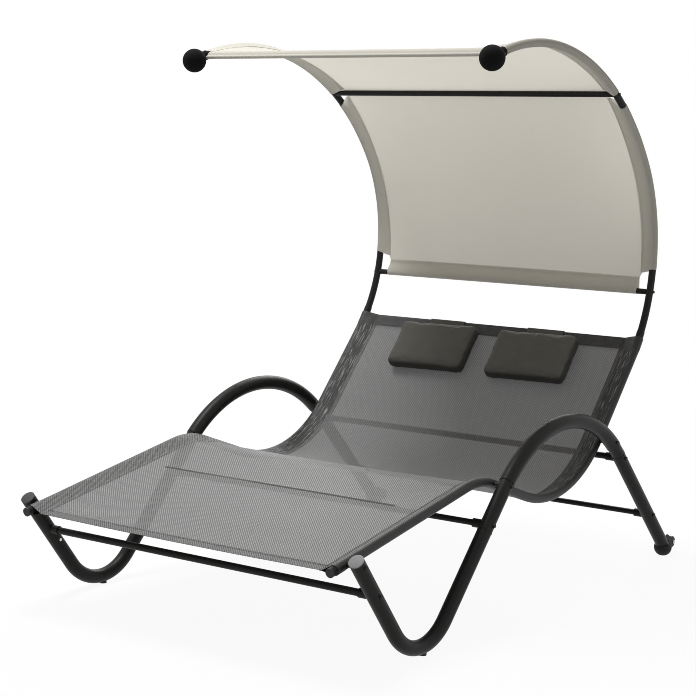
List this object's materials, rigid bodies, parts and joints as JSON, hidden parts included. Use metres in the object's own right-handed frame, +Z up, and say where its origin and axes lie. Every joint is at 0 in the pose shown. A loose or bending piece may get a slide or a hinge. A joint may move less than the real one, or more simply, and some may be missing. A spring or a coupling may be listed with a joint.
{
  "type": "double chaise lounger",
  "caption": "Two-person sun lounger with arched tube sides, a stretched mesh bed, flip-up headrest pillows, rear wheels and a curved shade canopy.",
  "frame": {"origin": "centre of the bounding box's base, on the floor midway between the rails' noses and the wheels", "axes": "+X across the bed to its right-hand side seen from the foot, +Y from the foot end to the head end, +Z up"},
  "size_m": [1.344, 2.0452, 1.812],
  "materials": {
    "frame_coat": "charcoal powder coat, satin",
    "black_plastic": "moulded black, fine texture",
    "black_rubber": "moulded black, dull",
    "dark_steel": "blackened bolt heads",
    "plain_steel": "zinc plated",
    "sling_mesh": "open grey outdoor mesh with fine ribs",
    "canopy_fabric": "woven light grey-beige shade cloth",
    "pillow_fabric": "dark olive-grey woven cover"
  },
  "bodies": {
    "frame": {"armrest_left": "frame_coat", "armrest_right": "frame_coat", "back_rail_left": "frame_coat", "back_rail_right": "frame_coat", "canopy_bar_plugs": "plain_steel", "canopy_bolts": "dark_steel", "canopy_bow_left": "frame_coat", "canopy_bow_right": "frame_coat", "canopy_cloth": "canopy_fabric", "canopy_front_bar": "frame_coat", "canopy_knob_left": "black_plastic", "canopy_knob_right": "black_plastic", "canopy_lower_bar": "frame_coat", "canopy_middle_bar": "frame_coat", "canopy_post_left": "frame_coat", "canopy_post_right": "frame_coat", "crossbar_bolts": "dark_steel", "crossbar_inserts": "plain_steel", "floor_stud_left": "black_plastic", "floor_stud_right": "black_plastic", "front_crossbar": "frame_coat", "front_leg_left": "frame_coat", "front_leg_right": "frame_coat", "leg_buttons": "plain_steel", "leg_cap_left": "black_plastic", "leg_cap_right": "black_plastic", "middle_crossbar": "frame_coat", "pillow_strap_left": "pillow_fabric", "pillow_strap_right": "pillow_fabric", "rail_bolts": "dark_steel", "rail_cap_left": "black_plastic", "rail_cap_right": "black_plastic", "rail_nuts": "plain_steel", "rail_spacers": "black_plastic", "rear_boot_left": "black_rubber", "rear_boot_right": "black_rubber", "rear_leg_left": "frame_coat", "rear_leg_right": "frame_coat", "rear_lower_crossbar": "frame_coat", "rear_upper_crossbar": "frame_coat", "seat_rail_left": "frame_coat", "seat_rail_right": "frame_coat", "sling": "sling_mesh", "upright_left": "frame_coat", "upright_right": "frame_coat", "wheel_axle_left": "plain_steel", "wheel_axle_right": "plain_steel", "wheel_bracket_left": "frame_coat", "wheel_bracket_right": "frame_coat"},
    "wheel_left": {"wheel_left": "black_plastic"},
    "wheel_right": {"wheel_right": "black_plastic"},
    "pillow_left": {"pillow_left": "pillow_fabric"},
    "pillow_right": {"pillow_right": "pillow_fabric"}
  },
  "joints": [
    {"name": "wheel_spin_left", "type": "hinge", "parent": "frame", "child": "wheel_left", "pos_m": [-0.64, 1.00258, 0.03771], "axis": [1, 0, 0], "continuous": true},
    {"name": "pillow_flip_left", "type": "hinge", "parent": "frame", "child": "pillow_left", "pos_m": [-0.212, 0.77059, 0.76852], "axis": [-1, 0, 0], "range_deg": [0, 85]},
    {"name": "wheel_spin_right", "type": "hinge", "parent": "frame", "child": "wheel_right", "pos_m": [0.64, 1.00258, 0.03771], "axis": [1, 0, 0], "continuous": true},
    {"name": "pillow_flip_right", "type": "hinge", "parent": "frame", "child": "pillow_right", "pos_m": [0.212, 0.77059, 0.76852], "axis": [-1, 0, 0], "range_deg": [0, 85]}
  ]
}
